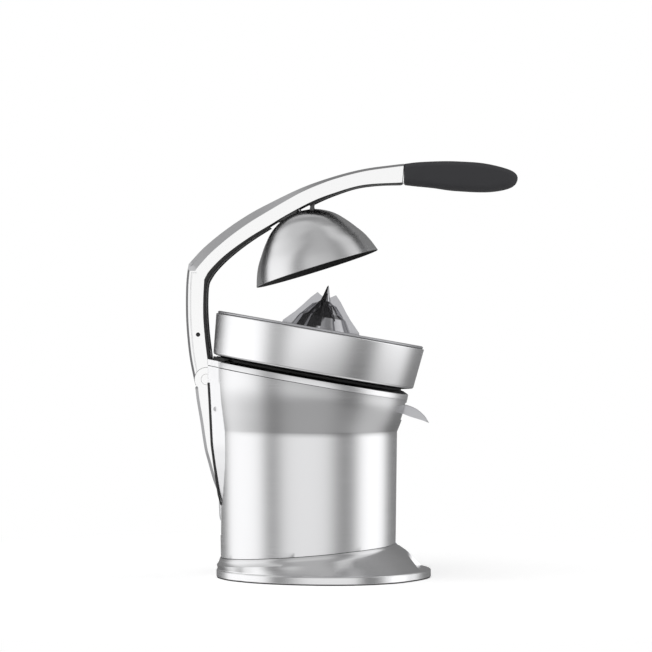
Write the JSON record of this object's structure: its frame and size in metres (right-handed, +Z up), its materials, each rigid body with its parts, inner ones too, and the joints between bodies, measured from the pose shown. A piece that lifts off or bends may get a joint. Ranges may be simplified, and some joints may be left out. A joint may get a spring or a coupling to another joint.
{
  "type": "motorised lever citrus press",
  "caption": "Upright motor-driven citrus press: tilted juice bowl with ribbed reamer on a round steel body, and a linked overhead lever that carries a domed fruit press.",
  "frame": {"origin": "on the floor under the axis of the round body, at the middle foot", "axes": "+Z up, +X towards the spout and the lever grip, +Y to the left seen from behind"},
  "size_m": [0.3211, 0.2044, 0.4018],
  "materials": {
    "brushed_steel": "satin, turned brushing",
    "polished_steel": "polished sides with satin bevels",
    "strainer_steel": "satin",
    "reamer_steel": "polished",
    "soft_grip": "soft touch",
    "black_plastic": "matte",
    "rubber": "matte",
    "white_plastic": "satin",
    "steel": "machined",
    "brass": "machined",
    "magnet": "matte",
    "board_green": "satin"
  },
  "bodies": {
    "base": {"base_plate": "black_plastic", "rubber_feet": "rubber", "base_screws": "steel", "base_cowl": "brushed_steel", "body_shell": "brushed_steel", "trim_ring": "brushed_steel", "spine_caps": "black_plastic", "drive_deck": "black_plastic", "link_frame": "steel", "rear_link_pin": "steel", "front_link_pin": "steel", "start_switch": "white_plastic", "upper_bearing": "brass", "lower_bearing": "brass", "shaft_seal": "rubber", "gear_case": "black_plastic", "gear_cover": "black_plastic", "gear_midplate": "steel", "idler_pin": "steel", "motor_can": "steel", "motor_end_cap": "black_plastic", "motor_magnets": "magnet", "control_board": "board_green", "board_standoffs": "brass", "cord_gland": "black_plastic", "spout_bracket": "black_plastic", "spout_pins": "steel"},
    "rear_link": {"rear_link": "polished_steel", "arm_pivot_pins": "steel"},
    "arm": {"lever_arm": "polished_steel", "arm_set_screw": "steel", "arm_insert": "black_plastic", "arm_link_pin": "steel", "grip": "soft_grip", "grip_screws": "steel", "dome_bracket": "brushed_steel", "press_dome": "brushed_steel", "dome_liner": "black_plastic", "dome_screw": "steel"},
    "front_link": {"front_link": "steel"},
    "plunger": {"switch_plunger": "white_plastic"},
    "motor": {"motor_rotor": "steel", "motor_pinion": "brass"},
    "idler": {"idler_gear": "white_plastic"},
    "drive": {"output_gear": "steel", "drive_shaft": "steel"},
    "bowl": {"juice_bowl": "brushed_steel", "drain_sleeve": "rubber"},
    "strainer": {"strainer": "strainer_steel"},
    "reamer": {"reamer_cone": "reamer_steel", "reamer_hub": "white_plastic"},
    "spout": {"spout": "strainer_steel"}
  },
  "joints": [
    {"name": "rear_link_swing", "type": "hinge", "parent": "base", "child": "rear_link", "pos_m": [-0.0662, 0, 0.0401], "axis": [0, 1, 0], "range_deg": [-12.9, 0]},
    {"name": "arm_fold", "type": "hinge", "parent": "rear_link", "child": "arm", "pos_m": [-0.0975, 0, 0.1911], "axis": [0, 1, 0], "range_deg": [0, 37]},
    {"name": "front_link_swing", "type": "hinge", "parent": "base", "child": "front_link", "pos_m": [-0.0875, 0, 0.1628], "axis": [0, 1, 0], "range_deg": [-26.7, 0]},
    {"name": "plunger_push", "type": "slide", "parent": "base", "child": "plunger", "axis": [1, 0, 0], "range_m": [0, 0.0015], "stiffness_N_per_m": 300},
    {"name": "drive_spin", "type": "hinge", "parent": "base", "child": "drive", "pos_m": [0.00132, 0, 0.17881], "axis": [0.1736, 0, 0.9848], "continuous": true},
    {"name": "idler_spin", "type": "hinge", "parent": "base", "child": "idler", "pos_m": [0.02432, -0.03519, 0.15953], "axis": [0.1736, 0, 0.9848], "continuous": true},
    {"name": "motor_spin", "type": "hinge", "parent": "base", "child": "motor", "pos_m": [-0.00021, -0.01045, 0.11816], "axis": [0.1736, 0, 0.9848], "continuous": true},
    {"name": "bowl_lift", "type": "slide", "parent": "base", "child": "bowl", "axis": [-0.1736, 0, -0.9848], "range_m": [-0.022, 0]},
    {"name": "strainer_lift", "type": "slide", "parent": "bowl", "child": "strainer", "axis": [-0.1736, 0, -0.9848], "range_m": [-0.015, 0]},
    {"name": "reamer_spin", "type": "hinge", "parent": "strainer", "child": "reamer", "pos_m": [0.01174, 0, 0.2379], "axis": [0.1736, 0, 0.9848], "continuous": true},
    {"name": "spout_tip", "type": "hinge", "parent": "base", "child": "spout", "pos_m": [0.08, 0, 0.1637], "axis": [0, 1, 0], "range_deg": [-12, 0]}
  ],
  "couplings": [
    {"joint": "rear_link_swing", "follows": "arm_fold", "ratio": -0.346},
    {"joint": "front_link_swing", "follows": "arm_fold", "ratio": -0.7168},
    {"joint": "idler_spin", "follows": "drive_spin", "ratio": -4},
    {"joint": "motor_spin", "follows": "drive_spin", "ratio": 16},
    {"joint": "reamer_spin", "follows": "drive_spin", "ratio": 1}
  ]
}
